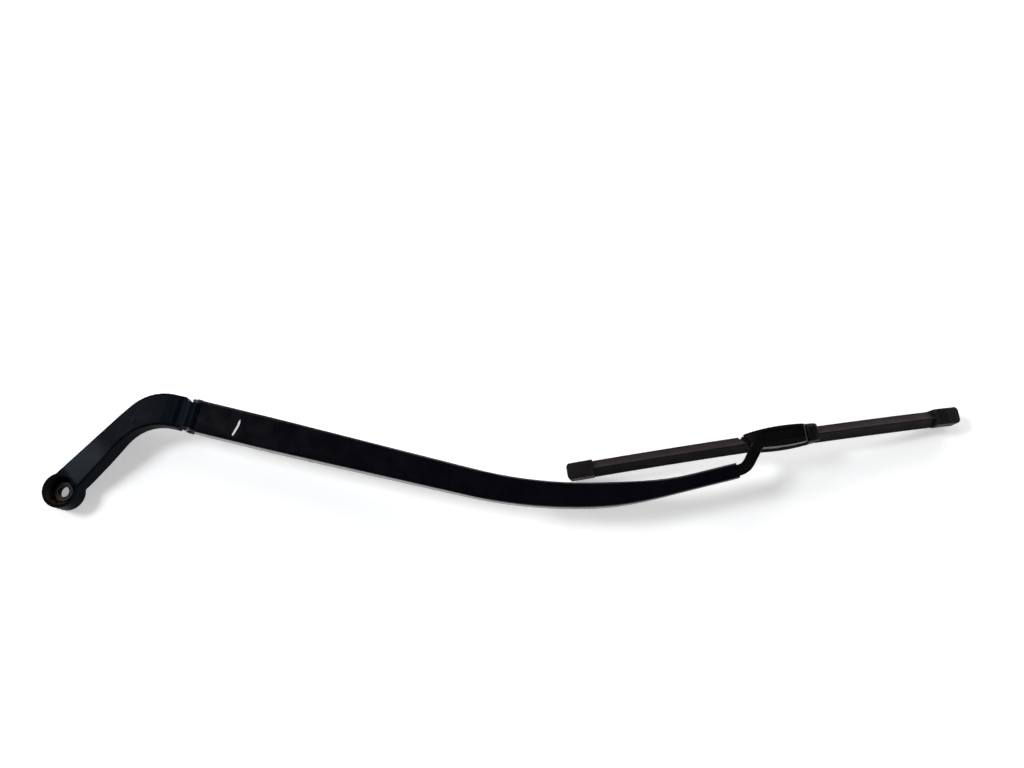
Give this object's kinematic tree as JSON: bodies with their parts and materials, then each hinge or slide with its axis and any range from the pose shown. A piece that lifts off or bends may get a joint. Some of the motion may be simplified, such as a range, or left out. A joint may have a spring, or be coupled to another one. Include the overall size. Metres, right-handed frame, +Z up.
{
  "type": "windscreen wiper arm with blade",
  "caption": "Windscreen wiper arm: cast mounting head with a spindle boss, sprung folding hinge, pressed steel channel, cranked flat rod and a flat wiper blade.",
  "frame": {"origin": "on the spindle axis at the foot of the boss", "axes": "+Z up along the spindle axis, +X towards the blade, XY is the surface that the arm lies on"},
  "size_m": [0.7811, 0.0982, 0.04],
  "materials": {
    "head_casting": "die cast, painted satin black with a blue cast, slightly worn",
    "bush_bronze": "sintered, dull",
    "pin_steel": "plain, drawn",
    "arm_paint": "satin black powder coat",
    "spring_steel": "drawn wire, greased",
    "rod_paint": "satin black",
    "adapter_plastic": "moulded, fine grain",
    "base_plastic": "moulded, weathered",
    "rail_steel": "spring steel strip",
    "squeegee_rubber": "matt",
    "spoiler_rubber": "matt, faded by the sun",
    "cap_plastic": "moulded, dusty"
  },
  "bodies": {
    "head": {"mounting_head": "head_casting", "hinge_bush_near": "bush_bronze", "hinge_bush_far": "bush_bronze", "spring_front_pin": "pin_steel"},
    "arm": {"hinge_pin": "pin_steel", "retainer": "arm_paint", "spring_rear_pin": "pin_steel", "tension_spring": "spring_steel", "arm_rod": "rod_paint", "adapter_body": "adapter_plastic"},
    "button": {"release_button": "adapter_plastic"},
    "blade": {"blade_base": "base_plastic", "blade_pivot_pin": "pin_steel", "rail_near": "rail_steel", "rail_far": "rail_steel", "wiper_rubber": "squeegee_rubber", "spoiler_inner": "spoiler_rubber", "spoiler_outer": "spoiler_rubber", "end_cap_inner": "cap_plastic", "end_cap_outer": "cap_plastic"}
  },
  "joints": [
    {"name": "arm_fold", "type": "hinge", "parent": "head", "child": "arm", "pos_m": [0.1129, 0.0612, 0.027], "axis": [-0.2368, -0.9715, 0], "range_deg": [0, 80], "stiffness_Nm_per_rad": 0.8, "springref_deg": -143.24, "deforming": ["tension_spring"]},
    {"name": "blade_tilt", "type": "hinge", "parent": "arm", "child": "blade", "pos_m": [0.60798, 0.04235, 0.0286], "axis": [-0.1461, 0.9893, 0], "range_deg": [-10, 10]},
    {"name": "button_press", "type": "slide", "parent": "arm", "child": "button", "axis": [0, 0, -1], "range_m": [0, 0.0014], "stiffness_N_per_m": 400, "springref_m": -0.001}
  ]
}
